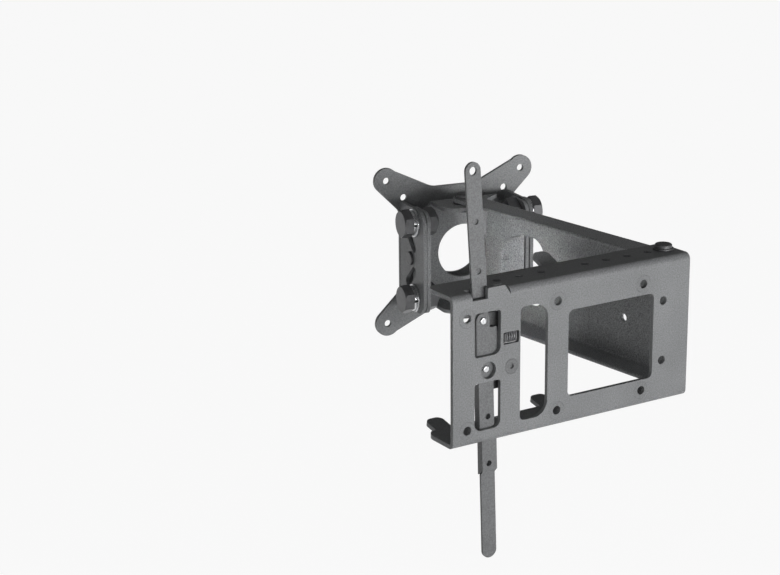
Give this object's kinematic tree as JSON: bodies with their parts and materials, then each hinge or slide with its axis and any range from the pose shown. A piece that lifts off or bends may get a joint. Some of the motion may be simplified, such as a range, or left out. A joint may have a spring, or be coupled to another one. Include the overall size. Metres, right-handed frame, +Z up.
{
  "type": "tv mount",
  "caption": "Folding wall mount for a flat screen: windowed wall plate, swinging channel arm, tilting eared screen plate and a sprung pull-strap latch.",
  "frame": {"origin": "centre of the wall plate's outer screw rectangle, on the wall face", "axes": "+X to the right seen from the wall, +Y away from the wall, +Z up"},
  "size_m": [0.2134, 0.2418, 0.2323],
  "materials": {
    "plate_coat": "fine textured powder coat",
    "arm_coat": "fine textured powder coat",
    "bracket_coat": "fine textured powder coat",
    "screen_coat": "fine textured powder coat",
    "strap_coat": "fine textured powder coat",
    "latch_coat": "fine textured powder coat",
    "rivet_steel": "bright zinc",
    "pin_coat": "fine textured powder coat",
    "spring_steel": "dark oiled spring steel",
    "black_bolt": "black oxide",
    "bright_washer": "bright zinc",
    "nylon": "smooth black nylon"
  },
  "bodies": {
    "wall": {"wall_plate": "plate_coat", "pivot_stud": "pin_coat", "stud_clip": "rivet_steel", "latch_spring": "spring_steel", "wall_pivot_rivets": "pin_coat", "wall_pivot_washers": "pin_coat", "wall_pivot_nylon_washers": "nylon", "wall_pivot_inner_washers": "rivet_steel"},
    "lever": {"upper_strap": "strap_coat", "lower_strap": "strap_coat", "latch_plate": "latch_coat", "strap_rivets": "rivet_steel"},
    "arm": {"arm_channel": "arm_coat", "head_pivot_rivets": "pin_coat", "head_pivot_washers": "pin_coat", "head_pivot_nylon_washers": "nylon", "head_pivot_inner_washers": "rivet_steel"},
    "head": {"head_bracket": "bracket_coat", "tilt_pins": "pin_coat", "tilt_bolts": "black_bolt", "tilt_flat_washers": "bright_washer", "tilt_spring_washers": "bright_washer", "tilt_nylon_washers": "nylon", "tilt_nuts": "black_bolt"},
    "screen": {"screen_plate": "screen_coat"}
  },
  "joints": [
    {"name": "arm_swing", "type": "hinge", "parent": "wall", "child": "arm", "pos_m": [0.0885, 0.0155, 0.0018], "axis": [0, 0, 1], "range_deg": [-80, 85]},
    {"name": "head_swing", "type": "hinge", "parent": "arm", "child": "head", "pos_m": [0.07229, 0.20079, 0.0018], "axis": [0, 0, -1], "range_deg": [-52, 33]},
    {"name": "head_tilt", "type": "hinge", "parent": "head", "child": "screen", "pos_m": [0.08095, 0.21153, 0.0018], "axis": [0.9867, -0.1626, 0], "range_deg": [-8, 8]},
    {"name": "lever_swing", "type": "hinge", "parent": "wall", "child": "lever", "pos_m": [-0.0316, 0, -0.0002], "axis": [0, 1, 0], "range_deg": [-2, 6], "stiffness_Nm_per_rad": 2, "deforming": ["latch_spring"]}
  ]
}
